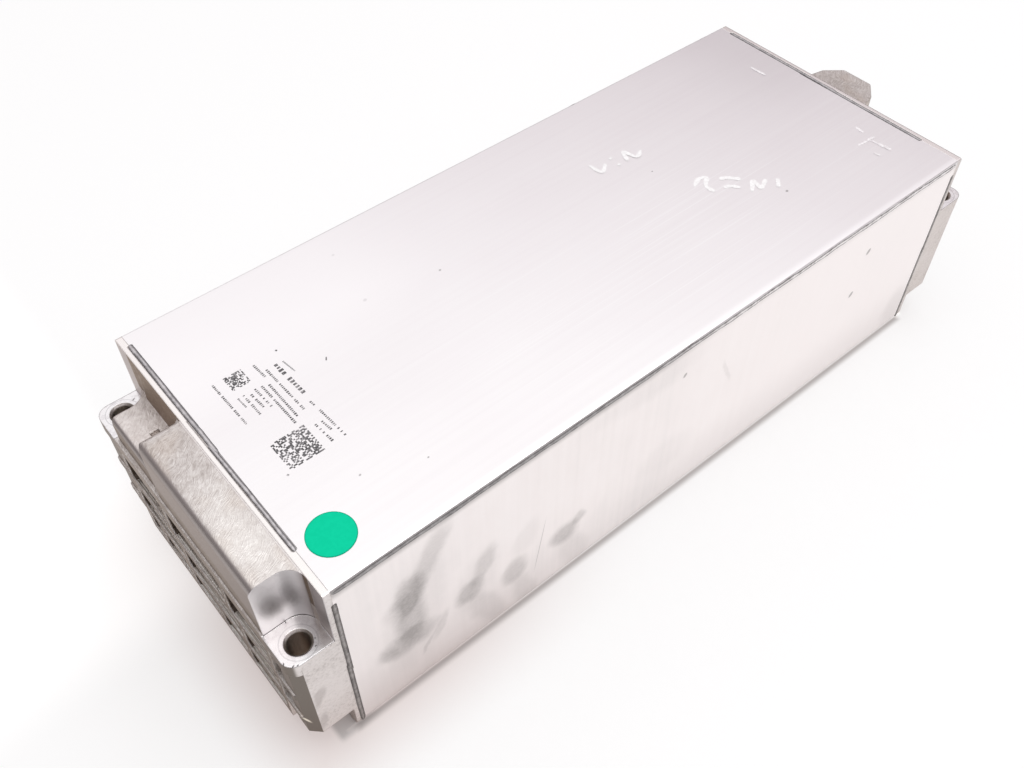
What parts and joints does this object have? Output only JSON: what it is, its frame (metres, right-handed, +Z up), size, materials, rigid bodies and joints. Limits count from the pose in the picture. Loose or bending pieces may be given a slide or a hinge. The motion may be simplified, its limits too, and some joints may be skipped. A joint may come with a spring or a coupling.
{
  "type": "pouch-cell traction battery module",
  "caption": "Welded aluminium battery module with die-cast end plates, bolt lugs at its corners, end terminals and a signal socket.",
  "frame": {"origin": "middle of the flat underside, at half the length and half the width", "axes": "+X along the length towards the end with the terminals, +Z up out of the cover, +Y to the left seen from the near end"},
  "size_m": [0.396, 0.1504, 0.1087],
  "materials": {
    "rolled_aluminium": "lengthwise rolled, lightly brushed, handled",
    "cast_aluminium": "die cast, blasted skin, machined at the bolt lugs",
    "weld_metal": "dull grey laser weld bead",
    "cell_laminate": "silver laminate foil",
    "foam": "closed-cell foam",
    "clear_film": "thin polyester film",
    "gap_filler": "soft thermal filler",
    "black_plastic": "moulded, fine grain",
    "copper": "bare copper strip",
    "plated_metal": "nickel-plated",
    "flex_circuit": "amber flexible circuit film",
    "sensor_resin": "potting resin",
    "green_paper": "printed self-adhesive paper"
  },
  "bodies": {
    "root": {"connector_pins": "plated_metal", "cover_plate": "rolled_aluminium", "far_busbar_1": "copper", "far_busbar_2": "copper", "far_end_insulator": "black_plastic", "far_end_plate": "cast_aluminium", "far_tab_carrier": "black_plastic", "far_weld_seams": "weld_metal", "green_sticker": "green_paper", "housing_tray": "rolled_aluminium", "long_weld_seams": "weld_metal", "near_busbar_1": "copper", "near_busbar_2": "copper", "near_busbar_3": "copper", "near_end_insulator": "black_plastic", "near_end_plate": "cast_aluminium", "near_tab_carrier": "black_plastic", "near_weld_seams": "weld_metal", "negative_collar": "black_plastic", "negative_terminal": "plated_metal", "pair_pad_1": "foam", "pair_pad_2": "foam", "pair_pad_3": "foam", "pair_pad_4": "foam", "pair_pad_5": "foam", "positive_collar": "black_plastic", "positive_terminal": "plated_metal", "pouch_cell_01": "cell_laminate", "pouch_cell_02": "cell_laminate", "pouch_cell_03": "cell_laminate", "pouch_cell_04": "cell_laminate", "pouch_cell_05": "cell_laminate", "pouch_cell_06": "cell_laminate", "pouch_cell_07": "cell_laminate", "pouch_cell_08": "cell_laminate", "pouch_cell_09": "cell_laminate", "pouch_cell_10": "cell_laminate", "pouch_cell_11": "cell_laminate", "pouch_cell_12": "cell_laminate", "sensing_strip": "flex_circuit", "side_film_left": "clear_film", "side_film_right": "clear_film", "side_pad_left": "foam", "side_pad_right": "foam", "signal_socket": "black_plastic", "temperature_sensors": "sensor_resin", "thermal_gap_filler": "gap_filler", "top_pad": "foam", "top_sheet": "clear_film"}
  },
  "joints": []
}
